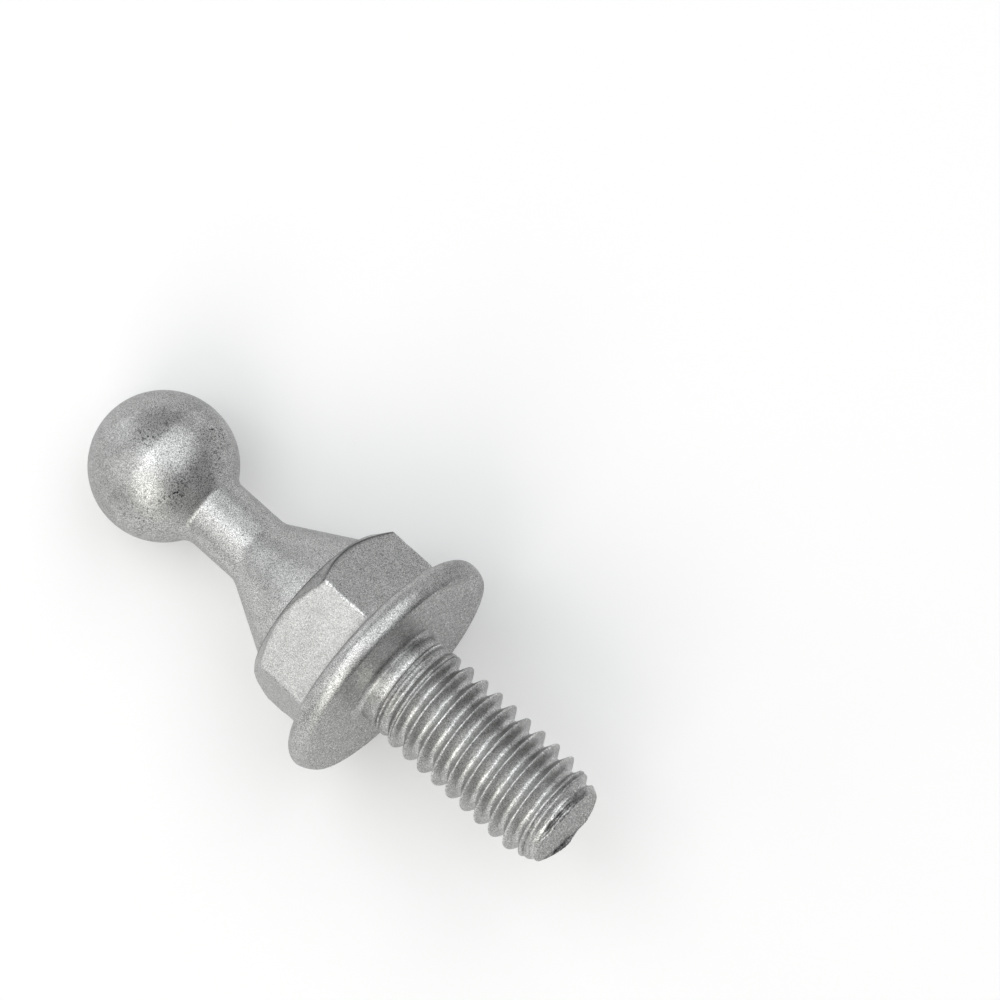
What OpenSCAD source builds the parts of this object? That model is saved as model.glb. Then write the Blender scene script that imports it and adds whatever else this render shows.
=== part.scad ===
// Ball stud that holds an engine cover: a cold-headed steel stud in one piece.
// A ball for the cover's rubber grommet, a waisted neck with a flared foot, a hexagon to drive it,
// a rounded flange, a plain collar and an M6 thread rolled onto the blank.
// Each part is drawn upright about the Z axis, with the flange's seat at height 0, the ball below
// it and the thread above. The finished stud is then laid down as it comes to rest.

/* [Ball and neck] */
// Diameter of the ball
ball_d = 7.9; // [7:0.1:9]
// From the flange's seat to the centre of the ball
ball_reach = 16.6; // [15.5:0.1:22]
// Diameter of the neck
neck_d = 3.9; // [3:0.1:4.5]
// Radius where the ball runs into the neck
ball_fillet_r = 1.2; // [0.4:0.1:1.4]
// Length of the flared foot of the neck
flare_len = 4.2; // [3:0.1:4.8]
// Diameter of the flare where it meets the hexagon
flare_d = 8.5; // [7.5:0.1:8.8]
// Radius where the neck turns into the flare
flare_fillet_r = 0.8; // [0.3:0.1:2]

/* [Hexagon] */
// Width across the flats
hex_af = 9.85; // [9.6:0.05:10.4]
// Height of the hexagon above the flange
hex_h = 4; // [3:0.1:5]
// Width of the chamfer at the middle of each flat
hex_lip = 0.2; // [0.05:0.05:0.3]
// Angle between the corner chamfer and the hexagon's top
hex_chamfer = 42; // [20:1:45]
// Turn of the hexagon about the stud
hex_turn = 48; // [0:1:59]

/* [Flange] */
// Largest diameter of the flange
flange_d = 13.6; // [13:0.1:16]
// Thickness of the flange
flange_t = 1.45; // [1.2:0.05:2.5]
// Radius of the rounded edge on the hexagon's side
rim_r = 0.75; // [0.3:0.05:0.8]
// How far the edge draws in from there down to the flat seat
seat_inset = 0.2; // [0.1:0.05:0.4]

/* [Shank and thread] */
// Length of the shank from the seat to its end
shank_len = 12; // [8:0.5:40]
// Diameter of the plain collar, which is the blank before its thread is rolled
collar_d = 5.4; // [5.2:0.05:5.6]
// Length of the plain collar
collar_len = 1.15; // [0.8:0.05:3]
// Radius between the seat and the collar
seat_fillet_r = 0.3; // [0.1:0.05:0.6]
// Outer diameter of the thread
thread_d = 5.8; // [5.7:0.02:5.98]
// Pitch of the thread
pitch = 1; // [0.75:0.25:1]
// Length over which the thread rises out of the collar
runout_len = 1.3; // [0.8:0.1:2.5]
// Diameter of the flat end
end_d = 4.5; // [3.8:0.1:4.6]
// Length of the rounded lead at the end
lead_len = 2.3; // [1:0.1:3]

/* [Hidden] */
$fn = 96;

ball_r = ball_d / 2;
neck_r = neck_d / 2;
flare_r = flare_d / 2;
flange_r = flange_d / 2;
collar_r = collar_d / 2;
thread_r = thread_d / 2;
end_r = end_d / 2;
hex_corner_r = hex_af / 2 / cos(30);
hex_top_z = -flange_t - hex_h;
flare_z = hex_top_z - flare_len;
flare_angle = atan2(flare_r - neck_r, flare_len);

// The flange is widest at this height, and an arc of the lower radius carries it down to the seat
rim_z = rim_r - flange_t;
lower_rim_r = (rim_z * rim_z + seat_inset * seat_inset) / (2 * seat_inset);

// The rounded lead is an arc that leaves the thread's outside without a step
lead_z = shank_len - lead_len;
lead_drop = thread_r - end_r;
lead_r = (lead_len * lead_len + lead_drop * lead_drop) / (2 * lead_drop);

// Metric thread form: flanks at 60 degrees, a crest an eighth of the pitch wide and a rounded root
thread_depth = 0.6134 * pitch;
root_r = 0.144 * pitch;
root_half_w = root_r * cos(30);
root_rise = root_r * (1 - sin(30));

// The groove's cutter stands a little proud of the blank, and starts just clear of it
groove_skin = 0.05;
groove_steps = 36;
groove_turn = 18;
groove_rings = ceil(groove_steps * ((shank_len - collar_len) / pitch + 0.6));

// Lying on the ball and the flange's edge, the stud's axis rises toward the thread by this angle
rest_span = ball_reach + rim_z;
rest_rise = flange_r - rim_r;
rest_tilt = acos((ball_r - rim_r) / norm([rest_span, rest_rise])) - atan2(rest_span, rest_rise);

// Share of the run-out that is done at a height, and the swelling blank's radius there
function done(z) = max(0, min(1, (z - collar_len) / runout_len));
function blank_r(z) = collar_r + (thread_r - collar_r) * done(z);

// Section of the groove's cutter, as [height from its middle, radius above the blank]. Along the
// run-out the cutter is drawn back, so the groove is narrower there and the crest between wider.
function groove_section(cut) =
    let (
        deep = cut * thread_depth - (1 - cut) * groove_skin / 2,
        side = min(root_rise - deep, 0.8 * groove_skin),
        half_w = root_half_w + (groove_skin - side) * tan(30)
    )
    [
        [-half_w, groove_skin],
        [-root_half_w, side],
        [0, -deep],
        [root_half_w, side],
        [half_w, groove_skin]
    ];
function around(r, turn, z) = [r * cos(turn), r * sin(turn), z];
function groove_ring(z, turn) = [
    for (p = groove_section(done(z))) around(blank_r(z + p[0]) + p[1], turn, z + p[0])
];

// Rounds the corner where a wall at radius r turns outward by an angle at height z
module outward_fillet(r, z, angle, fillet_r) {
    reach = fillet_r * tan(angle / 2);
    difference() {
        polygon([
            [0, z - reach],
            [r, z - reach],
            [r + reach * sin(angle), z + reach * cos(angle)],
            [0, z + reach * cos(angle)]
        ]);
        translate([r + fillet_r, z - reach])
            circle(r = fillet_r);
    }
}

// Rounds the corner between the ball and the neck
module ball_fillet() {
    centre_x = neck_r + ball_fillet_r;
    centre_dist = ball_r + ball_fillet_r;
    centre_dz = sqrt(centre_dist * centre_dist - centre_x * centre_x);
    share = ball_r / centre_dist;
    translate([0, -ball_reach])
        difference() {
            polygon([
                [0, share * centre_dz],
                [share * centre_x, share * centre_dz],
                [neck_r, centre_dz],
                [0, centre_dz]
            ]);
            translate([centre_x, centre_dz])
                circle(r = ball_fillet_r);
        }
}

// Ball, neck and flare, turned about the stud's axis
module head() {
    rotate_extrude() {
        intersection() {
            translate([0, -ball_reach])
                circle(r = ball_r);
            translate([0, -ball_reach - ball_r])
                square([ball_r, ball_d]);
        }
        ball_fillet();
        translate([0, -ball_reach])
            square([neck_r, ball_reach - flange_t]);
        outward_fillet(neck_r, flare_z, flare_angle, flare_fillet_r);
        polygon([[0, flare_z], [neck_r, flare_z], [flare_r, hex_top_z], [0, hex_top_z]]);
    }
}

// Hexagon whose corners are chamfered by a cone
module hexagon() {
    top_r = hex_af / 2 - hex_lip;
    cone_r = hex_corner_r + 1;
    cone_z = hex_top_z + (cone_r - top_r) * tan(hex_chamfer);
    intersection() {
        translate([0, 0, hex_top_z])
            rotate([0, 0, hex_turn])
                cylinder(r = hex_corner_r, h = hex_h, $fn = 6);
        rotate_extrude()
            polygon([
                [0, hex_top_z],
                [top_r, hex_top_z],
                [cone_r, cone_z],
                [cone_r, 0],
                [0, 0]
            ]);
    }
}

// Flange with a flat top, a rounded edge that draws in toward the seat, and a flat seat
module flange() {
    rotate_extrude() {
        translate([0, -flange_t])
            square([flange_r - rim_r, flange_t]);
        intersection() {
            translate([flange_r - rim_r, rim_z])
                circle(r = rim_r);
            translate([0, -flange_t])
                square([flange_r, rim_r]);
        }
        intersection() {
            translate([flange_r - lower_rim_r, rim_z])
                circle(r = lower_rim_r);
            translate([0, rim_z])
                square([flange_r, -rim_z]);
        }
    }
}

// Shank before the groove is rolled: collar, swelling run-out, thread's outside and rounded lead
module blank() {
    rotate_extrude() {
        difference() {
            square([collar_r + seat_fillet_r, seat_fillet_r]);
            translate([collar_r + seat_fillet_r, seat_fillet_r])
                circle(r = seat_fillet_r);
        }
        polygon([
            [0, -flange_t / 2],
            [collar_r, -flange_t / 2],
            [collar_r, collar_len],
            [thread_r, collar_len + runout_len],
            [thread_r, lead_z],
            [0, lead_z]
        ]);
        intersection() {
            translate([thread_r - lead_r, lead_z])
                circle(r = lead_r);
            translate([0, lead_z])
                square([thread_r, lead_len]);
        }
    }
}

// Right-handed helical groove, swept ring by ring; it deepens along the run-out and leaves at the end
module groove() {
    sides = len(groove_section(0));
    rings = [
        for (i = [0 : groove_rings])
            groove_ring(collar_len + i * pitch / groove_steps, groove_turn + i * 360 / groove_steps)
    ];
    walls = [
        for (i = [0 : groove_rings - 1], k = [0 : sides - 1])
            let (a = i * sides + k, b = i * sides + (k + 1) % sides)
                each [[a, b + sides, b], [a, a + sides, b + sides]]
    ];
    polyhedron(
        points = [for (ring = rings) each ring],
        faces = concat(
            [[for (k = [0 : sides - 1]) k]],
            walls,
            [[for (k = [sides - 1 : -1 : 0]) groove_rings * sides + k]]
        )
    );
}

// The whole stud, laid down on its ball and the edge of its flange
module ball_stud() {
    color([0.68, 0.69, 0.7])
        rotate([0, 90 - rest_tilt, 0]) {
            head();
            hexagon();
            flange();
            difference() {
                blank();
                groove();
            }
        }
}

ball_stud();
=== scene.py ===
"""Looks of the ball stud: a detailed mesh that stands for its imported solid, a zinc finish, a soft
studio and the camera."""

import math

import bmesh
import bpy
import numpy as np
from mathutils import Matrix, Vector


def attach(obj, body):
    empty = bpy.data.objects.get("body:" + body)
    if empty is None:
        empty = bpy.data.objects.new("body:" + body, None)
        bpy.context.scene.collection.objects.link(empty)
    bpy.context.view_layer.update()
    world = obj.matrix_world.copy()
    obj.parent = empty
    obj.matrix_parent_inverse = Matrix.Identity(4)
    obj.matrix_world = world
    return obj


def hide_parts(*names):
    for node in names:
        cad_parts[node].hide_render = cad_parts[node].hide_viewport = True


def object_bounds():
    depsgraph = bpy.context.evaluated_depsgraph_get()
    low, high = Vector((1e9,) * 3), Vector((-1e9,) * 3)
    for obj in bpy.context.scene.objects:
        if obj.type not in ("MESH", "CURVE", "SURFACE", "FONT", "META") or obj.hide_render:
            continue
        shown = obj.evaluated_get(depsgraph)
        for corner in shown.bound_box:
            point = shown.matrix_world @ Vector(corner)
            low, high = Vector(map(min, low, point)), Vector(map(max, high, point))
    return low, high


MM = 0.001

# Sizes in millimetres, as in the part's source. Heights run along the stud's axis from the flange's
# seat: the ball is at negative heights and the thread at positive ones.
BALL_R = 3.95
BALL_REACH = 16.6
NECK_R = 1.95
BALL_FILLET_R = 1.2
FLARE_LEN = 4.2
FLARE_R = 4.25
HEX_APOTHEM = 4.925
HEX_H = 4.0
HEX_LIP = 0.2
HEX_CHAMFER = math.radians(42)
HEX_TURN = 48
FLANGE_R = 6.8
FLANGE_T = 1.45
RIM_R = 0.75
SEAT_INSET = 0.2
SHANK_LEN = 12.0
COLLAR_R = 2.7
COLLAR_LEN = 1.15
SEAT_FILLET_R = 0.3
THREAD_R = 2.9
PITCH = 1.0
RUNOUT_LEN = 1.3
END_R = 2.25
LEAD_LEN = 2.3
THREAD_DEPTH = 0.6134
ROOT_R = 0.144
GROOVE_TURN = 18

HEX_TOP_Z = -FLANGE_T - HEX_H
HEX_MIDDLE_Z = (HEX_TOP_Z - FLANGE_T) / 2
RIM_Z = RIM_R - FLANGE_T
LEAD_Z = SHANK_LEN - LEAD_LEN

# The stud lies on its ball and the flange's edge, so its axis rises toward the thread by this angle
REST_SPAN = BALL_REACH + RIM_Z
REST_RISE = FLANGE_R - RIM_R
REST_TILT = math.acos((BALL_R - RIM_R) / math.hypot(REST_SPAN, REST_RISE)) - math.atan2(
    REST_SPAN, REST_RISE
)
AXIS = Vector((math.cos(REST_TILT), 0, math.sin(REST_TILT)))
UP_SIDE = Vector((-math.sin(REST_TILT), 0, math.cos(REST_TILT)))
LEFT_SIDE = Vector((0, -1, 0))

# Softening of the forged edges, in millimetres. The neck also turns into the flare more softly
# than in the part's source.
EDGE_CUT = 0.06
HEX_EDGE_R = 0.18
FOOT_CUT = 0.42
SEAT_EDGE_CUT = 0.04
FLARE_FILLET_R = 1.3

# The ball's fillet was pressed tighter on the upper side, from this angle by this much both ways
TIGHT_FILLET_R = 0.3
TIGHT_MIDDLE = 155
TIGHT_REACH = 74
TIGHT_BLEND = 10

# One corner of the hexagon was forged a little round the stud from its place, in degrees. The turn
# fades out toward both ends of the hexagon and on the two flats beside the corner.
ODD_CORNER = 168
ODD_TURN = -1.9
ODD_WANDER = 0.9
ODD_SHARPNESS = 12
ODD_HALF_LEN = 26 / ODD_SHARPNESS

# Columns of the mesh beside each corner of the hexagon, in degrees from it, and over half a flat
CORNER_COLUMNS = [0.0, 0.3, 0.62, 1.1, 2.2]
FLAT_COLUMNS = 12

# The random grids repeat after this many steps
GRID_STEPS = 64


def column_angles():
    """Angles of the mesh's columns in degrees, closer together at the hexagon's six corners."""
    half = CORNER_COLUMNS + list(np.linspace(CORNER_COLUMNS[-1], 30, FLAT_COLUMNS)[1:])
    sector = half[:-1] + [60 - a for a in reversed(half)][:-1]
    return np.array([HEX_TURN + 60 * k + a for k in range(6) for a in sector])


def hex_radius(angles):
    """Radius of the hexagon's side at each angle, with its corners rounded."""
    from_corner = np.radians((angles - HEX_TURN + 30) % 60 - 30)
    flat = HEX_APOTHEM / np.cos(np.radians(30) - np.abs(from_corner))
    centre = (HEX_APOTHEM - HEX_EDGE_R) / math.cos(math.radians(30))
    limit = math.atan2(HEX_EDGE_R / 2, centre + HEX_EDGE_R * math.cos(math.radians(30)))
    inside = np.clip(HEX_EDGE_R**2 - (centre * np.sin(from_corner)) ** 2, 0, None)
    round_r = centre * np.cos(from_corner) + np.sqrt(inside)
    return np.where(np.abs(from_corner) < limit, round_r, flat)


def chamfer_height(side_r):
    """Height at which the corner chamfer meets a side at this radius."""
    return HEX_TOP_Z + (side_r - HEX_APOTHEM + HEX_LIP) * math.tan(HEX_CHAMFER)


def rumple(along, across, seed):
    """Smooth random values from -1 to 1, a step of 1 apart."""
    grid = np.random.default_rng(seed).uniform(-1, 1, (GRID_STEPS, GRID_STEPS))
    along, across = np.broadcast_arrays(np.asarray(along, float), np.asarray(across, float))
    i, j = np.floor(along).astype(int), np.floor(across).astype(int)
    u, v = along - i, across - j
    u, v = u * u * (3 - 2 * u), v * v * (3 - 2 * v)
    i, j = i % GRID_STEPS, j % GRID_STEPS
    next_i, next_j = (i + 1) % GRID_STEPS, (j + 1) % GRID_STEPS
    near = grid[i, j] * (1 - v) + grid[i, next_j] * v
    far = grid[next_i, j] * (1 - v) + grid[next_i, next_j] * v
    return near * (1 - u) + far * u


def wander(along, seed):
    """Smooth random values from -1 to 1 along one direction, a step of 1 apart."""
    return rumple(along, 0.5, seed)


def lumps(points, per_mm, seed):
    """Smooth random values in space."""
    x, y, z = points.T * per_mm
    return (rumple(x, y, seed) + rumple(y, z, seed + 1) + rumple(z, x, seed + 2)) / 1.7


def bell(value, centre, width):
    """Share that falls off smoothly from 1 on both sides of a centre."""
    return np.exp(-(((value - centre) / width) ** 2))


def below(value, limit, sharpness):
    """Share that passes smoothly from 1 below a limit to 0 above it."""
    return 1 / (1 + np.exp((value - limit) * sharpness))


def around_from(angles, middle):
    """Angles around the stud from a middle one, from -180 to 180."""
    return (angles - middle + 180) % 360 - 180


def beside(angles, middle, reach):
    """Share that falls off smoothly on both sides of an angle around the stud."""
    return bell(around_from(angles, middle), 0, reach)


def swells(angles, rows):
    """Sum of swells around the stud, each as (size, angle, reach in degrees)."""
    return sum(size * beside(angles, middle, reach) for size, middle, reach in rows)


def odd_swerve(heights):
    """Turn of the odd corner at a height, in degrees."""
    return ODD_TURN + ODD_WANDER * wander(heights * 1.15, 39)


def odd_share(angles):
    """Share of the odd corner's turn that reaches an angle."""
    return np.clip(1 - np.abs(around_from(angles, ODD_CORNER)) / 60, 0, 1)


def unit(v):
    """Vectors of length 1 in the same directions."""
    return v / np.linalg.norm(v, axis=-1, keepdims=True)


def arc(centre, radius, start, end, steps):
    """Rows on an arc, from one angle to another in degrees."""
    a = np.radians(np.linspace(start, end, steps + 1))
    return np.stack([centre[0] + radius * np.cos(a), centre[1] + radius * np.sin(a)], -1)


def line(a, b, steps):
    """Rows on a straight line between two points, without its ends."""
    t = np.linspace(0, 1, steps + 1)[1:-1]
    return np.multiply.outer(1 - t, a) + np.multiply.outer(t, b)


def soft_path(stops, cuts, steps):
    """Rows along straight lines between stops, with each corner between them rounded off."""
    rows = [stops[0]]
    start = stops[0]
    for k in range(1, len(stops)):
        corner = stops[k]
        cut = cuts[k - 1] if k < len(stops) - 1 else 0
        before = corner - cut * unit(corner - stops[k - 1])
        for t in np.linspace(0, 1, steps[k - 1] + 1)[1:]:
            rows.append(start * (1 - t) + before * t)
        start = before
        if cut:
            after = corner + cut * unit(stops[k + 1] - corner)
            for t in (0.25, 0.5, 0.75, 1):
                rows.append((1 - t) ** 2 * before + 2 * t * (1 - t) * corner + t * t * after)
            start = after
    return np.array(rows)


def same_all_round(rows, count):
    """The same rows for every column."""
    return np.repeat(rows[:, None, :], count, 1)


def ball_rows(angles):
    """Rows of the ball and its fillet, with the height at which the neck starts in each column."""
    one = np.ones(len(angles))
    past = np.abs(around_from(angles, TIGHT_MIDDLE)) - TIGHT_REACH
    tight = 1 / (1 + np.exp(past / TIGHT_BLEND))
    fillet_r = BALL_FILLET_R + (TIGHT_FILLET_R - BALL_FILLET_R) * tight
    fillet_dz = np.sqrt((BALL_R + fillet_r) ** 2 - (NECK_R + fillet_r) ** 2)
    fillet_turn = np.degrees(np.arctan2(fillet_dz, NECK_R + fillet_r))
    ball = arc((0, -BALL_REACH), BALL_R, -90 * one, fillet_turn, 66)[1:]
    centre = (NECK_R + fillet_r, -BALL_REACH + fillet_dz)
    fillet = arc(centre, fillet_r, 180 + fillet_turn, 180 * one, 10)[1:]
    return np.concatenate([ball, fillet]), -BALL_REACH + fillet_dz


def neck_rows(one, neck_start_z):
    """Rows of the neck and its flare, closer together near the flare's edge."""
    turn = math.degrees(math.atan2(FLARE_R - NECK_R, FLARE_LEN))
    reach = FLARE_FILLET_R * math.tan(math.radians(turn / 2))
    neck_end_z = HEX_TOP_Z - FLARE_LEN - reach
    neck = line(
        np.stack([NECK_R * one, neck_start_z], -1),
        np.stack([NECK_R * one, neck_end_z * one], -1),
        18,
    )
    centre = (NECK_R + FLARE_FILLET_R, neck_end_z)
    fillet = arc(centre, FLARE_FILLET_R, 180, 180 - turn, 6)
    foot = np.array([FLARE_R, HEX_TOP_Z])
    along = unit(foot - fillet[-1])
    near_foot = [foot - along * d for d in (0.2, 0.14, 0.09, 0.05, 0.02)]
    flare = np.concatenate([fillet, line(fillet[-1], foot - 0.28 * along, 28), near_foot])
    return np.concatenate([neck, same_all_round(flare, len(one))])


def hexagon_rows(one, side_r):
    """Rows from the flare's edge over the hexagon to the flange's rim."""
    stops = [
        np.stack([FLARE_R * one, HEX_TOP_Z * one], -1),
        np.stack([(HEX_APOTHEM - HEX_LIP) * one, HEX_TOP_Z * one], -1),
        np.stack([side_r, chamfer_height(side_r)], -1),
        np.stack([side_r, -FLANGE_T * one], -1),
        np.stack([(FLANGE_R - RIM_R) * one, -FLANGE_T * one], -1),
    ]
    return soft_path(stops, [EDGE_CUT, EDGE_CUT, FOOT_CUT], [4, 5, 20, 6])


def flange_rows(one):
    """Rows of the flange's rim, the seat, its fillet and the start of the collar."""
    lower_r = (RIM_Z**2 + SEAT_INSET**2) / (2 * SEAT_INSET)
    lower_turn = math.degrees(math.asin(-RIM_Z / lower_r))
    rim = arc((FLANGE_R - RIM_R, RIM_Z), RIM_R, -90, 0, 12)[1:]
    lower = arc((FLANGE_R - lower_r, RIM_Z), lower_r, 0, lower_turn, 8)[1:-1]
    stops = [
        lower[-1],
        np.array([FLANGE_R - SEAT_INSET, 0]),
        np.array([FLANGE_R - SEAT_INSET - 0.12, 0]),
        np.array([COLLAR_R + SEAT_FILLET_R, 0]),
    ]
    seat = soft_path(stops, [SEAT_EDGE_CUT, 0], [1, 2, 18])[1:]
    fillet = arc((COLLAR_R + SEAT_FILLET_R, SEAT_FILLET_R), SEAT_FILLET_R, 270, 180, 6)[1:]
    collar = [[COLLAR_R, SEAT_FILLET_R + 0.04]]
    return same_all_round(np.concatenate([rim, lower, seat, fillet, collar]), len(one))


def head_rows(angles):
    """Head, flange, seat and collar as [row, column, (radius, height)], from the ball's pole on."""
    one = np.ones(len(angles))
    ball, neck_start_z = ball_rows(angles)
    neck = neck_rows(one, neck_start_z)
    hexagon = hexagon_rows(one, hex_radius(angles))
    return np.concatenate([ball, neck, hexagon, flange_rows(one)])


# Thread: half the width of its crests, and how far its flanks run along the stud in their depth
CREST_HALF = 0.035
FLANK = math.tan(math.radians(30))

# Rows over one pitch from the groove's middle, closer together on the crest
THREAD_ROWS = [0.135, 0.23, 0.325, 0.42, 0.4375, 0.455, 0.475, 0.5, 0.525, 0.545]
THREAD_ROWS += [0.5625, 0.58, 0.675, 0.77, 0.865, 0.9, 0.95, 1.0, 1.05, 1.1]
THREAD_TURNS = 12
END_CUT_Z = 11.5

# Rolling left the crests a little rubbed and uneven, in millimetres
CREST_RUB = 0.03
CREST_DRIFT = 0.014
CREST_SOFT = 0.07
CREST_DROP = 0.18

# Seams on the crests, where the metal of two flanks met: [depth, turn along the helix, reach]
CREST_FOLDS = [(0.05, 2.05, 0.5), (0.035, 3.05, 0.3), (0.03, 7.1, 0.4), (0.16, 11.1, 0.45)]
FOLD_WIDTH = 0.045
LAST_TURN = 11.1

# The first crest rises as a narrow ridge between two shallow furrows
FIRST_TURN = 1.08
FIRST_RIDGE = 0.06
FIRST_FURROW = 0.035


def groove_phase(angles, heights):
    """Share of a pitch from the groove's middle, from -0.5 to 0.5."""
    share = (heights - COLLAR_LEN) / PITCH - (angles - GROOVE_TURN) / 360
    return share - np.round(share)


def groove_depth(phase):
    """Depth of the rolled groove below the crests: a rounded root and straight flanks."""
    w = np.abs(phase) * PITCH
    root_half = ROOT_R * math.cos(math.radians(30))
    root = THREAD_DEPTH - ROOT_R + np.sqrt(np.clip(ROOT_R**2 - w**2, 0, None))
    flank = (PITCH / 2 - CREST_HALF - w) / FLANK
    return np.where(w < root_half, root, flank)


def runout_share(heights):
    """Share of the run-out that is done at a height."""
    return np.clip((heights - COLLAR_LEN) / RUNOUT_LEN, 0, 1)


def blank_radius(heights):
    """Radius of the shank before its groove is rolled."""
    drop = THREAD_R - END_R
    lead_r = (LEAD_LEN**2 + drop**2) / (2 * drop)
    along = np.clip(heights - LEAD_Z, 0, LEAD_LEN)
    lead = THREAD_R - lead_r + np.sqrt(lead_r**2 - along**2)
    return np.minimum(COLLAR_R + (THREAD_R - COLLAR_R) * runout_share(heights), lead)


def nearest_crest(angles, heights):
    """Distance past the nearest crest along the stud, and that crest's turns along the helix."""
    phase = groove_phase(angles, heights)
    side = np.where(phase > 0, phase - 0.5, phase + 0.5) * PITCH
    turns = (heights - side) / PITCH
    return side + crest_drift(turns) * (1 - 2 * np.abs(side) / PITCH), turns


def crest_drift(turns):
    """How far the crests wander from the true helix, by turns along it."""
    return CREST_DRIFT * (wander(turns * 11, 5) + 0.6 * wander(turns * 37, 6))


def crest_rub(turns):
    """Depth rubbed off the crests, by turns along the helix."""
    rubbed = wander(turns * 14, 3) + 0.7 * wander(turns * 43, 4)
    return CREST_RUB * np.clip(0.4 + rubbed, 0, 1.7)


def crest_fold(turns):
    """Depth of the seams on the crests, by turns along the helix."""
    fold = sum(depth * bell(turns, at, reach) for depth, at, reach in CREST_FOLDS)
    return fold * np.clip(0.9 + 0.7 * wander(turns * 19, 8), 0.1, 1.4)


def thread_radius(angles, heights):
    """Radius of the finished shank, with crests rubbed, dented and folded as they were rolled."""
    swell = runout_share(heights)
    side, turns = nearest_crest(angles, heights)
    outside = COLLAR_R + (THREAD_R - COLLAR_R) * swell
    full = groove_depth(0.5 - np.abs(side) / PITCH) - (1 - swell) * THREAD_DEPTH
    below_outside = outside - blank_radius(heights)
    soft = CREST_SOFT * np.minimum(1, 0.25 + swell)
    under = full - below_outside
    depth = below_outside + 0.5 * (under + np.sqrt(under**2 + soft**2)) - CREST_DROP * soft
    radius = outside - np.maximum(depth, swell * crest_rub(turns))
    fold_width = FOLD_WIDTH + 0.05 * bell(turns, LAST_TURN, 0.6)
    radius = radius - crest_fold(turns) * bell(side, 0, fold_width)
    ridge = FIRST_RIDGE * bell(side, 0, 0.03) - FIRST_FURROW * bell(np.abs(side), 0.14, 0.08)
    radius = radius + bell(turns, FIRST_TURN, 0.24) * ridge
    return np.where(heights < COLLAR_LEN - 0.6, COLLAR_R, radius)


# Forged faces are uneven by this many millimetres, and nicks and the smaller seat are this deep
BALL_LUMPS = 0.012
HEX_LUMPS = 0.014
RIM_LUMPS = 0.02
EDGE_NICK = 0.08
CORNER_NICK = 0.1
SMALL_SEAT = 0.15

# The ball's wear and marks end at about this height
BALL_END_Z = -12.9


def wear_head(points):
    """Slight unevenness of the forged faces, nicks on the hexagon and the flange's smaller seat."""
    x, y, height = points.T
    radius = np.hypot(x, y)
    angle = np.degrees(np.arctan2(y, x))
    outward = np.stack([x, y, 0 * radius], -1) / np.maximum(radius, 1e-6)[:, None]
    on_ball = below(height, BALL_END_Z, 8)
    on_hex = bell(height, HEX_TOP_Z + 2, 1.9) * (radius > FLARE_R + 0.2)
    on_rim = bell(height, RIM_Z, 0.5) * (radius > FLANGE_R - RIM_R)
    push = BALL_LUMPS * on_ball * lumps(points, 0.55, 21)
    push = push + HEX_LUMPS * on_hex * lumps(points, 0.7, 25)
    push = push + RIM_LUMPS * on_rim * lumps(points, 0.8, 31)
    on_edge = bell(height, chamfer_height(hex_radius(angle)), 0.1) * (radius > HEX_APOTHEM - 0.05)
    push = push - EDGE_NICK * on_edge * np.clip(lumps(points, 2.2, 35) - 0.2, 0, 1)
    from_corner = (angle - HEX_TURN + 30) % 60 - 30
    on_corner = bell(from_corner, 0, 3.5) * bell(height, -3.3, 1.8) * (radius > HEX_APOTHEM)
    push = push - CORNER_NICK * on_corner * np.clip(lumps(points, 1.6, 37) + 0.2, 0, 1)
    toward_seat = np.clip((height - RIM_Z) / -RIM_Z, 0, 1) * (radius > FLANGE_R - RIM_R - 0.1)
    push = push - SMALL_SEAT * toward_seat * beside(angle, 280, 42) * (height < 0.01)
    return points + outward * push[:, None]


def at_places(radius, angles, heights):
    """Points at a radius, an angle in degrees and a height."""
    a = np.radians(angles)
    return np.stack([radius * np.cos(a), radius * np.sin(a), heights + 0 * radius], -1)


def head_mesh(angles):
    """Points and faces of the head as a grid of rows and columns, with the ball's pole last."""
    columns = len(angles)
    rows = head_rows(angles)
    radius, height = rows[..., 0], rows[..., 1]
    on_hex = below(np.abs(height - HEX_MIDDLE_Z), ODD_HALF_LEN, ODD_SHARPNESS)
    on_hex = on_hex * (radius > FLARE_R + 0.3)
    turned = angles[None, :] + odd_swerve(height) * on_hex * odd_share(angles)[None, :]
    head = wear_head(at_places(radius, turned, height).reshape(-1, 3))
    faces = [
        (
            k * columns + j,
            k * columns + (j + 1) % columns,
            (k + 1) * columns + (j + 1) % columns,
            (k + 1) * columns + j,
        )
        for k in range(len(rows) - 1)
        for j in range(columns)
    ]
    pole = len(head)
    faces += [(pole, (j + 1) % columns, j) for j in range(columns)]
    return np.concatenate([head, [[0, 0, -BALL_REACH - BALL_R]]]), faces


def strip_points(angles):
    """Points of the thread's strip, which follows the helix so that its rows run along the crests."""
    columns = len(angles)
    steps = (THREAD_TURNS + 1) * columns + 1
    strip_angles = np.array([angles[q % columns] + 360 * (q // columns) for q in range(steps)])
    first_z = COLLAR_LEN + PITCH * ((angles[0] - GROOVE_TURN) / 360 - 1)
    climb = first_z + PITCH * (strip_angles - angles[0]) / 360
    heights = climb[:, None] + PITCH * np.array(THREAD_ROWS)[None, :]
    radius = thread_radius(strip_angles[:, None], heights)
    return at_places(radius, strip_angles[:, None], heights).reshape(-1, 3)


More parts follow.
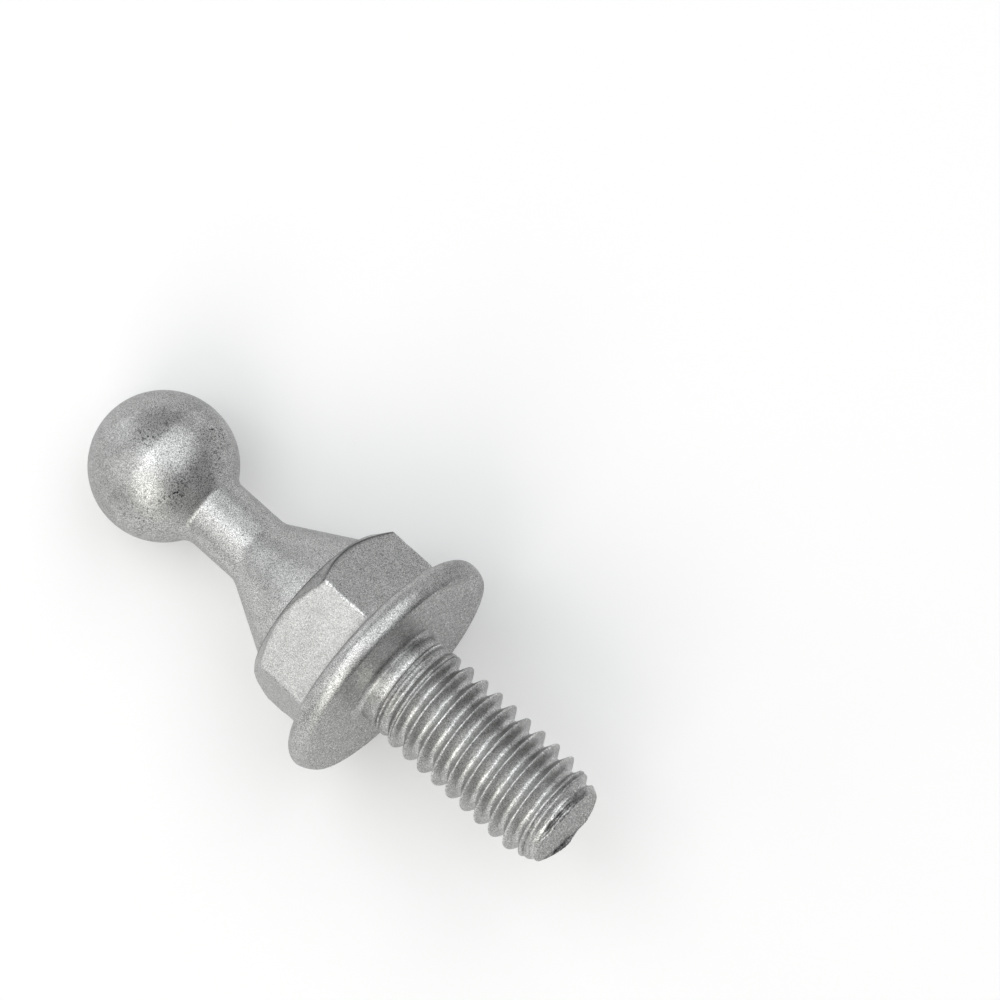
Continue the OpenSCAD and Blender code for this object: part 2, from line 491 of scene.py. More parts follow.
def strip_faces(columns, base):
    """Faces of the strip, whose points start at a base, and of its seam with the head's last ring."""
    per_pitch = len(THREAD_ROWS)
    ring = base - 1 - columns

    def spot(q, i):
        return base + (q * per_pitch + i if i < per_pitch else (q + columns) * per_pitch)

    faces = [
        (spot(q, i), spot(q + 1, i), spot(q + 1, i + 1), spot(q, i + 1))
        for q in range(THREAD_TURNS * columns)
        for i in range(per_pitch)
    ]
    faces += [(ring + j, ring + j + 1, spot(j + 1, 0), spot(j, 0)) for j in range(columns - 1)]
    last = spot(columns - 1, 0)
    seam = [ring] + [spot(0, i) for i in range(per_pitch + 1)]
    faces.append((last, ring + columns - 1, ring))
    return faces + [(last, a, b) for a, b in zip(seam, seam[1:])]


def build_stud():
    """The whole stud as one closed mesh, upright, in millimetres."""
    angles = column_angles()
    head, faces = head_mesh(angles)
    faces = faces + strip_faces(len(angles), len(head))
    bm = bmesh.new()
    verts = [bm.verts.new(p) for p in np.concatenate([head, strip_points(angles)])]
    for face in faces:
        bm.faces.new([verts[i] for i in face])
    bmesh.ops.delete(bm, geom=[v for v in bm.verts if not v.link_faces], context="VERTS")
    close_end(bm)
    return bm


# Rings of the shank's last half millimetre, of the lip around the end face as (radius, least share
# of the burr's height), and of the end face as shares of its radius
END_RINGS = [11.54 + 0.03 * k for k in range(7)] + [11.745 + 0.025 * k for k in range(10)]
END_LIP = [(END_R + 0.01, 1.0), (END_R - 0.03, 0.95), (END_R - 0.05, 0.5), (END_R - 0.07, 0.0)]
END_SHARES = [0.95, 0.92, 0.88, 0.83, 0.77, 0.7, 0.6, 0.5, 0.4, 0.3, 0.2, 0.1]

# Parting tore a crevice beside the end's edge, as [share of its depth, angle, reach in degrees]
END_TEARS = [(0.95, 193, 18), (0.55, 150, 27)]
TEAR_DEPTH = 0.26
TEAR_Z = 11.82

# It also left a burr, as [height, angle, reach in degrees], an edge out of round and small dents
FAR_BURR = [(0.2, 341, 22), (0.05, 312, 14), (0.125, 22, 11), (0.06, 42, 18)]
NEAR_BURR = [(0.128, 176, 30)]
END_WAVE = 0.04
END_DENTS = 0.015


def end_tear(angle):
    """Depth of the torn crevice beside the end's edge."""
    ragged = 0.9 + 0.5 * wander(angle / 6, 11) + 0.4 * wander(angle / 2.5, 12)
    return TEAR_DEPTH * swells(angle, END_TEARS) * np.clip(ragged, 0.2, 1.6)


def end_burr(angle):
    """Height of the thin burr that stands up along the end's far edge and beside the crevice."""
    jagged = wander(angle / 2, 14)
    ragged = 0.8 + 0.4 * wander(angle / 6, 13) + 0.35 * jagged
    far = swells(angle, FAR_BURR) * (1 + 0.16 * jagged)
    return far + swells(angle, NEAR_BURR) * np.clip(ragged, 0.1, 1.4)


def end_rolled(angle):
    """Share of the burr that is rolled over into the end face, on its far right side."""
    return beside(angle, 27, 28)


def end_wave(angle):
    """How far the end's edge is out of round."""
    return END_WAVE * wander(angle / 13, 18)


def end_radius(angle, height):
    """Radius of the shank's last half millimetre, with its torn crevice."""
    radius = thread_radius(np.asarray(angle), np.asarray(height, float))
    centre = TEAR_Z + 0.06 * wander(angle / 9, 15)
    radius = radius - end_tear(angle) * bell(height, centre, 0.09)
    radius = radius + end_wave(angle) * bell(height, SHANK_LEN, 0.3)
    scratch = 0.014 * rumple(angle / 5, height * 12, 16)
    return float(radius + scratch * bell(height, SHANK_LEN, 0.25))


def end_dent(angle, share):
    """Small dents near the edge of the end face, less the part that is rolled up there."""
    dents = END_DENTS * bell(share, 1, 0.06) * (1.2 + rumple(angle / 6, share * 20, 17))
    rolled = end_rolled(angle) * end_burr(angle) * np.clip((share - 0.76) / 0.2, 0, 1) ** 1.5
    return float(dents * (1 - end_rolled(angle)) - rolled)


def lip_spot(angle, reach, share):
    """Radius and height on the lip around the end face, which stands up where the burr does."""
    height = SHANK_LEN + max(share, float(end_rolled(angle))) * float(end_burr(angle))
    return reach + float(end_wave(angle)), height


def add_ring(bm, loop, spot):
    """Extrudes the open edge into a ring at the radius and height that a spot gives by angle."""
    made = bmesh.ops.extrude_edge_only(bm, edges=loop)["geom"]
    for v in (g for g in made if isinstance(g, bmesh.types.BMVert)):
        turn = math.atan2(v.co.y, v.co.x)
        radius, height = spot(math.degrees(turn) % 360)
        v.co = (radius * math.cos(turn), radius * math.sin(turn), height)
    return [g for g in made if isinstance(g, bmesh.types.BMEdge) and g.is_boundary]


def close_end(bm):
    """Cuts the strip off square near the shank's end and adds the flat end face."""
    bmesh.ops.bisect_plane(
        bm,
        geom=bm.verts[:] + bm.edges[:] + bm.faces[:],
        dist=1e-4,
        plane_co=(0, 0, END_CUT_Z),
        plane_no=(0, 0, 1),
        clear_outer=True,
    )
    loop = [e for e in bm.edges if e.is_boundary]
    for height in END_RINGS:
        loop = add_ring(bm, loop, lambda angle: (end_radius(angle, height), height))
    for reach, share in END_LIP:
        loop = add_ring(bm, loop, lambda angle: lip_spot(angle, reach, share))
    for share in END_SHARES:
        loop = add_ring(bm, loop, lambda angle: (END_R * share, SHANK_LEN - end_dent(angle, share)))
    bmesh.ops.contextual_create(bm, geom=loop)
    bmesh.ops.recalc_face_normals(bm, faces=bm.faces[:])


# Patches of the coat, most of them painted light and painted shade: [strength, angle, reach in
# degrees, height, reach in millimetres]
BALL_PITS = [(1.0, 168, 38, -14.2, 0.55), (0.7, 166, 34, -17.4, 0.9)]
BALL_PITS += [(0.75, 120, 16, -15.3, 0.9), (0.5, 228, 22, -15.1, 1.0)]
# Painted shade in two patches on the ball and a painted highlight between them
BALL_PAINTED_LIGHT = [(-0.6, 122, 15, -15.4, 1.0), (1.2, 147, 11, -15.6, 0.8), (-0.35, 182, 24, -18.2, 0.7)]
BALL_SCUFF = [(0.35, 174, 36, -14.4, 0.55)]
# Painted shade in a patch on the ball
BALL_SHADE = [(0.32, 119, 14, -15.6, 1.9)]
# Painted shade over a lamp's streak on the flare, and a painted highlight near its foot
FLARE_PAINTED_LIGHT = [(-1.0, 181, 20, -7.7, 0.7), (1.0, 190, 32, -5.85, 0.4)]
# Painted shade on one side of the rim
RIM_SHADE = [(0.5, 119, 17, -0.45, 0.5), (0.2, 94, 27, -0.9, 0.5)]
EDGE_RUB = [(1.0, 228, 1.6, -2.1, 0.3)]
# Painted light on the collar
COLLAR_PAINTED_LIGHT = [(2.6, 241, 22, 0.35, 0.5), (3.0, 205, 13, 0.38, 0.28), (1.5, 229, 12, 0.38, 0.28)]
# A darker patch at the thread's start
CRUMPLE = [(0.45, 110, 15, 2.25, 0.5)]

# Edge of the painted highlight, a bright belt around the ball, and how far it climbs in a degree
BELT_EDGE_Z = -16.55
BELT_CLIMB = 0.0028
BELT_END_Z = -14.7


class Spots:
    """Where the mesh's points are on the stud."""

    def __init__(self, points):
        x, y, self.height = points.T
        self.points = points
        self.radius = np.hypot(x, y)
        self.angle = np.degrees(np.arctan2(y, x)) % 360
        self.ragged = 0.75 + 0.45 * self.lumps(3, 41) + 0.3 * self.lumps(8, 45)

    def lumps(self, per_mm, seed):
        """Smooth random values at the points."""
        return lumps(self.points, per_mm, seed)

    def beside(self, middle, reach):
        """Share that falls off smoothly on both sides of an angle around the stud."""
        return beside(self.angle, middle, reach)

    def within(self, middle, reach):
        """Whether points are less than a reach in degrees from an angle around the stud."""
        return np.abs(around_from(self.angle, middle)) < reach

    def at(self, height, reach):
        """Share that falls off smoothly above and below a height."""
        return bell(self.height, height, reach)

    def between(self, low, high):
        """Whether points are between two heights."""
        return (self.height > low) * (self.height < high)

    def patches(self, rows):
        """Sum of patches, each as (strength, angle, reach in degrees, height, reach)."""
        return sum(
            strength * self.beside(middle, reach) * self.at(height, spread)
            for strength, middle, reach, height, spread in rows
        )


def ball_marks(spots):
    """A painted highlight as a bright belt around the ball, painted shade on the cap past it, in a
    streak and in patches, pits and scuffs.
    """
    on_ball = below(spots.height, BALL_END_Z, 6)
    edge = spots.height - BELT_EDGE_Z - BELT_CLIMB * around_from(spots.angle, 160)
    belt = below(-edge - 0.06 * spots.lumps(1.3, 61), 0, 22)
    belt = belt * below(spots.height + 0.35 * spots.lumps(1.0, 65), BELT_END_Z, 5)
    cap = on_ball * below(edge, 0, 22)
    streak = cap * np.exp(np.minimum(edge, 0) / 0.8) * spots.beside(148, 30)
    # Painted highlight on the belt, painted shade on the cap and in its streak
    painted_light = belt * spots.beside(170, 75) - 0.25 * cap * (1 + spots.at(-17.1, 0.4)) - 1.4 * streak
    scuff = spots.patches(BALL_SCUFF) * np.clip(spots.ragged, 0.2, 1.4)
    return {
        # Real scuffs, and painted shade in a patch
        "grime_and_shade": scuff + spots.patches(BALL_SHADE) * on_ball * spots.ragged,
        "pits": 0.16 * on_ball + spots.patches(BALL_PITS),
        "painted_light": painted_light + spots.patches(BALL_PAINTED_LIGHT),
    }


def neck_marks(spots):
    """A painted highlight on one side of the neck, a strip of painted shade on it, and painted shade
    and a painted highlight on its flare.
    """
    on_neck = spots.at(-9.5, 4.2) * (spots.radius < HEX_APOTHEM - 0.3)
    on_flare = (spots.radius > NECK_R + 0.15) * (spots.radius < FLARE_R + 0.15)
    straight = spots.radius < NECK_R + 0.15
    # Painted highlight on the neck
    painted_light = on_neck * (spots.beside(218, 28) + 1.1 * straight * spots.beside(146, 12))
    return {
        # Painted shade in a strip along the neck
        "grime_and_shade": 0.16 * spots.beside(119, 14) * spots.ragged * on_neck,
        "painted_light": painted_light + on_flare * spots.patches(FLARE_PAINTED_LIGHT),
    }


def hexagon_marks(spots):
    """Painted shade in the corner at the flare's edge, a dark line along the chamfer on the upper
    side, rubbed places on two corners and painted light on two flats.
    """
    # Painted shade in the corner where the flare meets the hexagon
    around_flare = 0.45 + 0.5 * spots.beside(115, 45) + 0.35 * spots.beside(205, 38)
    around_flare = around_flare * spots.at(HEX_TOP_Z + 0.02, 0.07)
    around_flare = around_flare * (spots.radius < HEX_APOTHEM + 0.05)
    bevel = bell(spots.height, chamfer_height(hex_radius(spots.angle)), 0.085)
    bevel = bevel * spots.beside(138, 58) * (spots.radius > HEX_APOTHEM - 0.1)
    corner = ODD_CORNER + odd_swerve(spots.height) + 1.1
    on_corner = spots.beside(corner, 1.2) * (spots.radius > HEX_APOTHEM + 0.1)
    on_corner = on_corner * spots.between(HEX_TOP_Z, -FLANGE_T - 0.3)
    on_flats = spots.between(HEX_TOP_Z, -FLANGE_T - 0.2) * (spots.radius > HEX_APOTHEM - 0.02)
    return {
        "grime_and_shade": around_flare + 1.1 * bevel,
        "rub_and_sheen": spots.patches(EDGE_RUB) + 0.45 * on_corner,
        # Painted light on two flats
        "painted_light": on_flats * (0.35 * spots.within(198, 30) + 0.6 * spots.within(258, 30)),
        "sparkle": -0.35 * on_flats * spots.within(198, 30),
    }


def flange_marks(spots):
    """Painted shade on the flange's rim, a dark line round its seat's edge, and the seat's coarse
    grain with painted light on it.
    """
    seat_edge = spots.at(-0.06, 0.11) * bell(spots.radius, FLANGE_R - 0.12, 0.12)
    round_seat = (0.12 + 0.8 * spots.beside(173, 44)) * seat_edge * (0.6 + 0.4 * spots.ragged)
    on_rim = spots.radius > FLANGE_R - RIM_R + 0.05
    on_seat = (np.abs(spots.height) < 0.02) * (spots.radius > COLLAR_R + 0.2)
    return {
        # Dark line round the seat's edge, and painted shade on the rim
        "grime_and_shade": round_seat + spots.patches(RIM_SHADE) * on_rim,
        "rub_and_sheen": 0.3 * spots.at(-0.5, 0.25) * (spots.radius > FLANGE_R - 0.3),
        "coarse": on_seat,
        "drawn": 0.5 * on_seat,
        # Painted light on the seat
        "painted_light": (0.4 + 0.9 * spots.beside(176, 40)) * on_seat,
    }


def collar_marks(spots):
    """Painted shade in the fillet at the collar's foot and in a strip along it, and a painted
    highlight on the collar, partly as a painted sheen.
    """
    in_fillet = bell(np.hypot(spots.radius - COLLAR_R, spots.height), 0.22, 0.24)
    in_fillet = in_fillet * spots.ragged * (0.35 + 0.65 * (spots.height > 0.03))
    on_collar = spots.between(0.1, 0.91) * (spots.radius < COLLAR_R + 0.2)
    near_collar = spots.radius < COLLAR_R + 0.5
    # Painted shade in the fillet
    grime_and_shade = (0.3 + 0.15 * spots.beside(115, 45)) * in_fillet
    # Painted light on the collar
    painted_light = 1.4 * spots.at(0.75, 0.4) * near_collar * (spots.height < 1)
    return {
        # Painted shade in a strip along the collar
        "grime_and_shade": grime_and_shade + 0.42 * spots.beside(130, 17) * spots.ragged * on_collar,
        # Painted sheen on the collar
        "rub_and_sheen": 0.6 * spots.at(0.72, 0.3) * (spots.radius < COLLAR_R + 0.1),
        "painted_light": painted_light + spots.patches(COLLAR_PAINTED_LIGHT) * near_collar * (spots.height < 0.95),
    }


def thread_marks(spots):
    """Rubbed crests, a painted highlight on the roots, painted shade in the seams, past the crests,
    beside the first crest and in a strip, darker patches, a coarse coat and painted light on the
    shank.
    """
    on_shank = spots.between(0.9, SHANK_LEN - 0.02) * (spots.radius < THREAD_R + 0.3)
    side, turns = nearest_crest(spots.angle, spots.height)
    folded = np.clip(crest_fold(turns) / 0.06, 0, 1.3) * bell(side, 0, 0.05)
    spotted = 0.55 + 0.6 * wander(turns * 50, 51) + 0.5 * wander(turns * 9, 52)
    crests = bell(side, 0, 0.05) * (0.1 + 0.9 * np.clip(spotted, 0, 1))
    crests = crests * (1 - np.clip(folded, 0, 1)) * (spots.height < SHANK_LEN - 0.6)
    # Painted highlight along the roots
    roots = bell(np.abs(side), 0.5, 0.09) * (spots.height > 1.4)
    start = bell(turns, FIRST_TURN, 0.3)
    # Darker patches near the thread's start
    dark_patches = spots.at(1.45, 0.45) * (0.16 + 0.2 * spots.beside(212, 32))
    # Painted shade in a strip along the shank
    dark_patches = dark_patches + 0.4 * spots.beside(130, 17)
    # Painted shade in the seams, with the darker patches
    grime_and_shade = (0.5 * folded + dark_patches + spots.patches(CRUMPLE)) * spots.ragged
    # Painted shade on the flanks just past the crests
    grime_and_shade = grime_and_shade + 0.16 * bell(side, 0.13, 0.08) * (spots.height > 1.8)
    # Painted shade in the furrows beside the first crest
    grime_and_shade = grime_and_shade + 0.4 * start * bell(np.abs(side), 0.13, 0.07)
    return {
        "grime_and_shade": grime_and_shade * on_shank,
        "rub_and_sheen": (1.2 * crests + 0.55 * roots + start * bell(side, 0, 0.035)) * on_shank,
        "coarse": 0.5 * on_shank,
        # Painted light on the shank, less on one side, which is painted shade
        "painted_light": (0.75 - 0.5 * spots.beside(238, 24)) * on_shank,
    }


def end_marks(spots):
    """Painted shade in the torn crevice, grime and painted shade in spots on the burr, a darker end
    face, and the end face's drawn-out grain.
    """
    on_side = (spots.height < SHANK_LEN - 0.02) * (spots.radius > END_R - 0.35)
    in_tear = spots.at(TEAR_Z + 0.01, 0.14) * on_side * np.clip(end_tear(spots.angle) / 0.12, 0, 1)
    on_face = (spots.height > SHANK_LEN - 0.04) * (spots.radius < END_R + 0.2)
    on_burr = on_face * (spots.radius > END_R - 0.08)
    on_burr = on_burr * np.clip(end_burr(spots.angle) / 0.05, 0, 1)
    on_burr = on_burr * (1 - spots.within(176, 80)) * (0.2 + 0.8 * spots.beside(322, 28))
    specks = np.clip(0.45 + 1.3 * spots.lumps(7, 71), 0, 1)
    return {
        # Painted shade in the torn crevice and on the burr, with grime in spots on it, and a darker
        # end face
        "grime_and_shade": 0.95 * in_tear * spots.ragged + 0.85 * on_burr * specks + 0.2 * on_face,
        "coarse": on_face,
        "drawn": on_face,
    }


def surface_marks(points):
    """What the finish reads from the mesh. Shares of grime and painted shade, of rubbed bright metal
    and painted sheen, of pits, of coarse grain and of grain drawn out up and down run from 0 to 1.
    Painted light is how much lighter or darker the coat is painted where light and shade fall, and
    sparkle is the strength of its fine grain."""
    marks = {"grime_and_shade": 0, "rub_and_sheen": 0, "pits": 0.12, "coarse": 0, "drawn": 0, "painted_light": 0, "sparkle": 1}
    spots = Spots(points)
    head = [ball_marks, neck_marks, hexagon_marks, flange_marks]
    for part in head + [collar_marks, thread_marks, end_marks]:
        for name, values in part(spots).items():
            marks[name] = marks[name] + values
    for name in ("grime_and_shade", "rub_and_sheen", "pits", "coarse", "drawn"):
        marks[name] = np.clip(marks[name], 0, 1)
    return marks


def to_row(points):
    """Upright millimetres to the row frame in metres, with the stud laid down at rest."""
    turn = np.array([-UP_SIDE, -LEFT_SIDE, AXIS])
    return points @ turn * MM


def make_stud():
    """The stud's mesh, marked for the finish and laid down in metres."""
    bm = build_stud()
    mesh = bpy.data.meshes.new("stud")
    bm.to_mesh(mesh)
    bm.free()
    co = np.empty(len(mesh.vertices) * 3)
    mesh.vertices.foreach_get("co", co)
    points = co.reshape(-1, 3).astype(float)
    for name, values in surface_marks(points).items():
        mesh.attributes.new(name, "FLOAT", "POINT").data.foreach_set("value", values.astype("f"))
    mesh.vertices.foreach_set("co", to_row(points).astype("f").ravel())
    mesh.update()
    mesh.shade_smooth()
    stud = bpy.data.objects.new("stud", mesh)
    bpy.context.collection.objects.link(stud)
    return stud


# Camera: where the photograph's was, looking almost straight down on the stud
FOCAL_PX = 6765
FRAME_PX = 1000
SENSOR_MM = 36
CAMERA_LEAN = math.radians(14.6)
CAMERA_ROLL = math.radians(41.47)
BALL_IN_VIEW = Vector((-17.39, -1.748, 350.0)) * MM


def add_camera():
    """The stud's axis leans toward the camera and points down to the right in its frame."""
    lean_cos, lean_sin = math.cos(CAMERA_LEAN), math.sin(CAMERA_LEAN)
    roll_cos, roll_sin = math.cos(CAMERA_ROLL), math.sin(CAMERA_ROLL)
    axis_in_view = Vector((lean_cos * roll_cos, lean_cos * roll_sin, -lean_sin))
    up_in_view = Vector((-lean_sin * roll_cos, -lean_sin * roll_sin, -lean_cos))
    left_in_view = Vector((-roll_sin, roll_cos, 0))
    right, down, forward = (
        AXIS * axis_in_view[k] + UP_SIDE * up_in_view[k] + LEFT_SIDE * left_in_view[k]
        for k in range(3)
    )
    ball = -BALL_REACH * MM * AXIS
    spot = ball - right * BALL_IN_VIEW.x - down * BALL_IN_VIEW.y - forward * BALL_IN_VIEW.z
    data = bpy.data.cameras.new("camera")
    data.sensor_width = SENSOR_MM
    data.lens = FOCAL_PX / FRAME_PX * SENSOR_MM
    data.clip_start = 0.01
    camera = bpy.data.objects.new("camera", data)
    turn = Matrix((right, -down, -forward)).transposed().to_4x4()
    camera.matrix_world = Matrix.Translation(spot) @ turn
    bpy.context.collection.objects.link(camera)
    bpy.context.scene.camera = camera


# Zinc coat: its colour, and how strongly its marks change its tone
ZINC = (0.4535, 0.4535, 0.451)
EDGE_TINT = 0.75
GRAIN_SHARE = 0.72
MOTTLE_SHARE = 0.07
COARSE_SHARE = 0.3
STREAK_SHARE = 0.42
# Strengths of the grime and painted shade, of the rubbed metal and painted sheen, and of the painted
# light
GRIME_AND_SHADE_SHARE = 0.8
RUB_AND_SHEEN_SHARE = 0.65
PAINTED_LIGHT_SHARE = 0.14
COAT_ROUGHNESS = 0.42
RUBBED_ROUGHNESS = 0.3

# Grains of its patterns in a millimetre
GRAIN_PER_MM = 22
MOTTLE_PER_MM = 1.6
FLECKS_PER_MM = 7.5
FLECK_FIELDS_PER_MM = 0.9
COARSE_PER_MM = 7.0
STREAKS_PER_MM = 14.0
RUB_PER_MM = 9.0

# The sheared end and the seat have a grain that is drawn out up and down
STREAK_STRETCH = (1, 1, 0.28)

# Relief of the coat in millimetres, of fine grains and of softer lumps at half their strength
BUMP_MM = 0.0058
BUMP_PER_MM = 9
LUMPS_PER_MM = 3.0
LUMPS_SHARE = 0.5


class Nodes:
    """Short ways to add linked nodes to a material."""

    def __init__(self, material):
        material.use_nodes = True
        self.tree = material.node_tree

    def link(self, output, socket):
        self.tree.links.new(output, socket)

    def vector(self, operation):
        node = self.tree.nodes.new("ShaderNodeVectorMath")
        node.operation = operation
        return node

    def clouds(self, where, per_unit, detail=0.0):
        node = self.tree.nodes.new("ShaderNodeTexNoise")
        node.inputs["Scale"].default_value = per_unit
        node.inputs["Detail"].default_value = detail
        self.link(where, node.inputs["Vector"])
        return node.outputs["Fac"]

    def remap(self, value, low, high, to_low, to_high):
        node = self.tree.nodes.new("ShaderNodeMapRange")
        node.inputs["From Min"].default_value = low
        node.inputs["From Max"].default_value = high
        node.inputs["To Min"].default_value = to_low
        node.inputs["To Max"].default_value = to_high
        self.link(value, node.inputs["Value"])
        return node.outputs["Result"]

    def combine(self, operation, a, b):
        node = self.tree.nodes.new("ShaderNodeMath")
        node.operation = operation
        for socket, value in zip(node.inputs, (a, b)):
            if isinstance(value, (int, float)):
                socket.default_value = value
            else:
                self.link(value, socket)
        return node.outputs[0]

    def mark(self, name):
        node = self.tree.nodes.new("ShaderNodeAttribute")
        node.attribute_name = name
        return node.outputs["Fac"]

    def vary(self, tone, share, strength):
        """Tone that is brighter by a share times a strength, or darker where that is below 0."""
        change = self.combine("ADD", 1.0, self.combine("MULTIPLY", share, strength))
        return self.combine("MULTIPLY", tone, change)


def zinc_tone(nodes, where, drawn_out):
    """Tone of the coat and the share of it that is rubbed bright or has a painted sheen: a fine
    sparkling grain, faint mottling, and the marks of the mesh with their painted light and shade."""
    grain = nodes.clouds(where, GRAIN_PER_MM, 1.0)
    grain = nodes.remap(grain, 0.3, 0.7, -GRAIN_SHARE, GRAIN_SHARE)
    mottle = nodes.clouds(where, MOTTLE_PER_MM, 3.0)
    mottle = nodes.remap(mottle, 0.3, 0.7, 1 - MOTTLE_SHARE, 1 + MOTTLE_SHARE)
    tone = nodes.vary(mottle, grain, nodes.mark("sparkle"))

    coarse = nodes.clouds(where, COARSE_PER_MM, 2.0)
    coarse = nodes.remap(coarse, 0.3, 0.7, -COARSE_SHARE, COARSE_SHARE)
    tone = nodes.vary(tone, nodes.mark("coarse"), coarse)
    streaks = nodes.clouds(drawn_out, STREAKS_PER_MM, 1.0)
    streaks = nodes.remap(streaks, 0.34, 0.66, -STREAK_SHARE, STREAK_SHARE)
    tone = nodes.vary(tone, nodes.mark("drawn"), streaks)

    flecks = nodes.remap(nodes.clouds(where, FLECKS_PER_MM, 2.0), 0.54, 0.68, 0, 1)
    fields = nodes.remap(nodes.clouds(where, FLECK_FIELDS_PER_MM), 0.38, 0.56, 0.25, 1)
    pitted = nodes.combine("MULTIPLY", nodes.combine("MULTIPLY", flecks, fields), nodes.mark("pits"))
    tone = nodes.vary(tone, pitted, -1.0)
    # Grime and painted shade: darker in crevices, fillets, seams and on shaded sides, and where there
    # is real grime
    tone = nodes.vary(tone, nodes.mark("grime_and_shade"), -GRIME_AND_SHADE_SHARE)
    # Rubbed bright metal on crests and corners, and a painted sheen on the thread's roots and the
    # collar
    broken = nodes.remap(nodes.clouds(where, RUB_PER_MM, 1.0), 0.42, 0.6, 0.0, 1.0)
    rubbed = nodes.combine("MULTIPLY", nodes.mark("rub_and_sheen"), broken)
    tone = nodes.vary(tone, rubbed, RUB_AND_SHEEN_SHARE)
    # Painted light and painted shade: the coat made lighter or darker where light and shade fall
    return nodes.vary(tone, nodes.mark("painted_light"), PAINTED_LIGHT_SHARE), rubbed


def zinc_finish():
    """Matte zinc coat with a fine relief, less rough where it is rubbed or has a painted sheen."""
    material = bpy.data.materials.new("zinc_coated_steel")
    nodes = Nodes(material)
    shader = nodes.tree.nodes["Principled BSDF"]
    shader.inputs["Metallic"].default_value = 1.0
    shader.inputs["Specular Tint"].default_value = (EDGE_TINT, EDGE_TINT, EDGE_TINT, 1)

    in_mm = nodes.vector("SCALE")
    in_mm.inputs["Scale"].default_value = 1 / MM
    nodes.link(nodes.tree.nodes.new("ShaderNodeTexCoord").outputs["Object"], in_mm.inputs[0])
    drawn_out = nodes.vector("MULTIPLY")
    drawn_out.inputs[1].default_value = STREAK_STRETCH
    nodes.link(in_mm.outputs[0], drawn_out.inputs[0])

    tone, rubbed = zinc_tone(nodes, in_mm.outputs[0], drawn_out.outputs[0])
    colour = nodes.vector("SCALE")
    colour.inputs[0].default_value = ZINC
    nodes.link(tone, colour.inputs["Scale"])
    nodes.link(colour.outputs[0], shader.inputs["Base Color"])
    rough = nodes.remap(rubbed, 0, 1, COAT_ROUGHNESS, RUBBED_ROUGHNESS)
    nodes.link(rough, shader.inputs["Roughness"])

    fine = nodes.clouds(in_mm.outputs[0], BUMP_PER_MM, 2.0)
    soft = nodes.combine("MULTIPLY", nodes.clouds(in_mm.outputs[0], LUMPS_PER_MM, 1.0), LUMPS_SHARE)
    bump = nodes.tree.nodes.new("ShaderNodeBump")
    bump.inputs["Strength"].default_value = 1.0
    bump.inputs["Distance"].default_value = BUMP_MM * MM
    nodes.link(nodes.combine("ADD", fine, soft), bump.inputs["Height"])
    nodes.link(bump.outputs[0], shader.inputs["Normal"])
    return material


# Floor: its pale colour, and the share of plain white that the camera and the metal see in it
FLOOR_COLOUR = (0.9, 0.9, 0.9, 1)
WHITE = (1, 1, 1, 1)
WHITE_SHARE = 0.15
FLOOR_HALF = 1.0


def floor_finish():
    """White to the camera and in the metal, with the stud's soft shadow kept."""
    material = bpy.data.materials.new("white_floor")
    nodes = Nodes(material)
    add = nodes.tree.nodes.new
    nodes.tree.nodes.clear()
    output = add("ShaderNodeOutputMaterial")
    mix = add("ShaderNodeMixShader")
    diffuse = add("ShaderNodeBsdfDiffuse")
    diffuse.inputs["Color"].default_value = FLOOR_COLOUR
    white = add("ShaderNodeEmission")
    white.inputs["Color"].default_value = WHITE
    rays = add("ShaderNodeLightPath")
    seen = rays.outputs["Is Camera Ray"]
    for name in ("Is Glossy Ray", "Is Transmission Ray"):
        seen = nodes.combine("MAXIMUM", seen, rays.outputs[name])
    nodes.link(nodes.combine("MULTIPLY", seen, WHITE_SHARE), mix.inputs["Fac"])
    nodes.link(diffuse.outputs[0], mix.inputs[1])
    nodes.link(white.outputs[0], mix.inputs[2])
    nodes.link(mix.outputs[0], output.inputs["Surface"])
    return material


def add_floor(height):
    """The white ground that the stud lies on."""
    mesh = bpy.data.meshes.new("floor")
    sides = [(-1, -1), (1, -1), (1, 1), (-1, 1)]
    corners = [(x * FLOOR_HALF, y * FLOOR_HALF, height) for x, y in sides]
    mesh.from_pydata(corners, [], [(0, 1, 2, 3)])
    floor = bpy.data.objects.new("floor", mesh)
    floor.data.materials.append(floor_finish())
    bpy.context.collection.objects.link(floor)


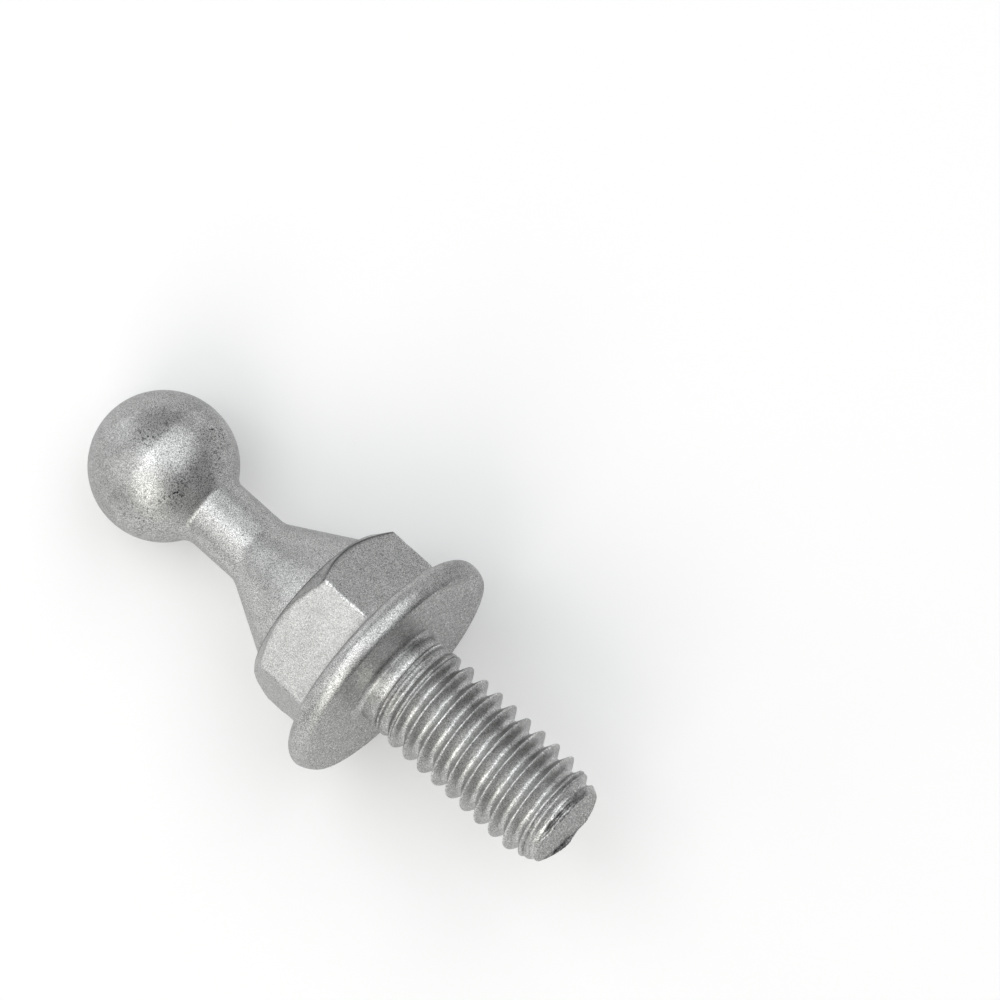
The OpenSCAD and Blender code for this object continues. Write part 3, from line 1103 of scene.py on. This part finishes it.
# Soft lamps on a dome over the stud: [degrees from straight above, degrees around it, watts, colour]
WARM = (1.0, 0.997, 0.975)
WARMER = (1.0, 0.995, 0.925)
COOL = (0.965, 0.99, 1.0)
LAMPS = [
    (25, 240, 0.53, WARM),
    (25, 180, 0.76, COOL),
    (25, 60, 0.53, COOL),
    (45, 105, 0.46, COOL),
    (45, 285, 0.9, WARMER),
    (82, 300, 0.34, WARMER),
    (65, 225, 0.42, WARM),
    (82, 180, 0.48, COOL),
]
LAMP_DISTANCE = 0.6
LAMP_SIZE = 0.4
WORLD_LIGHT = 0.4


def add_lamp(name, spot, power, colour):
    """A soft round lamp that shines at the stud."""
    data = bpy.data.lights.new(name, "AREA")
    data.shape = "DISK"
    data.size = LAMP_SIZE
    data.energy = power
    data.color = colour
    lamp = bpy.data.objects.new(name, data)
    lamp.location = spot
    lamp.rotation_euler = (-Vector(spot)).to_track_quat("-Z", "Y").to_euler()
    bpy.context.collection.objects.link(lamp)


def add_lamps():
    """All the lamps of the dome."""
    for number, (from_top, around, power, colour) in enumerate(LAMPS):
        lean, turn = math.radians(from_top), math.radians(around)
        side = LAMP_DISTANCE * math.sin(lean)
        spot = (side * math.cos(turn), side * math.sin(turn), LAMP_DISTANCE * math.cos(lean))
        add_lamp(f"lamp_{number + 1}", spot, power, colour)


def add_world():
    """A plain white studio."""
    world = bpy.data.worlds.new("studio")
    bpy.context.scene.world = world
    world.use_nodes = True
    background = world.node_tree.nodes["Background"]
    background.inputs["Color"].default_value = WHITE
    background.inputs["Strength"].default_value = WORLD_LIGHT


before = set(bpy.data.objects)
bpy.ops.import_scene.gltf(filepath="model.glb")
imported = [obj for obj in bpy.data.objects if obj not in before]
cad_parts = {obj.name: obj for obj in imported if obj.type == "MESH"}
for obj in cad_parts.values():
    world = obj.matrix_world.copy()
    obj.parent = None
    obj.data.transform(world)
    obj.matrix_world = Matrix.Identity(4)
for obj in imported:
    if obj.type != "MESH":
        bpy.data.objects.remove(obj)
cad_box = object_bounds()
add_camera()
stud = make_stud()
stud.data.materials.append(zinc_finish())
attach(stud, "root")
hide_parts("ball_stud")
add_floor(cad_box[0][2])
add_lamps()
add_world()
bpy.context.scene.view_settings.view_transform = "Standard"
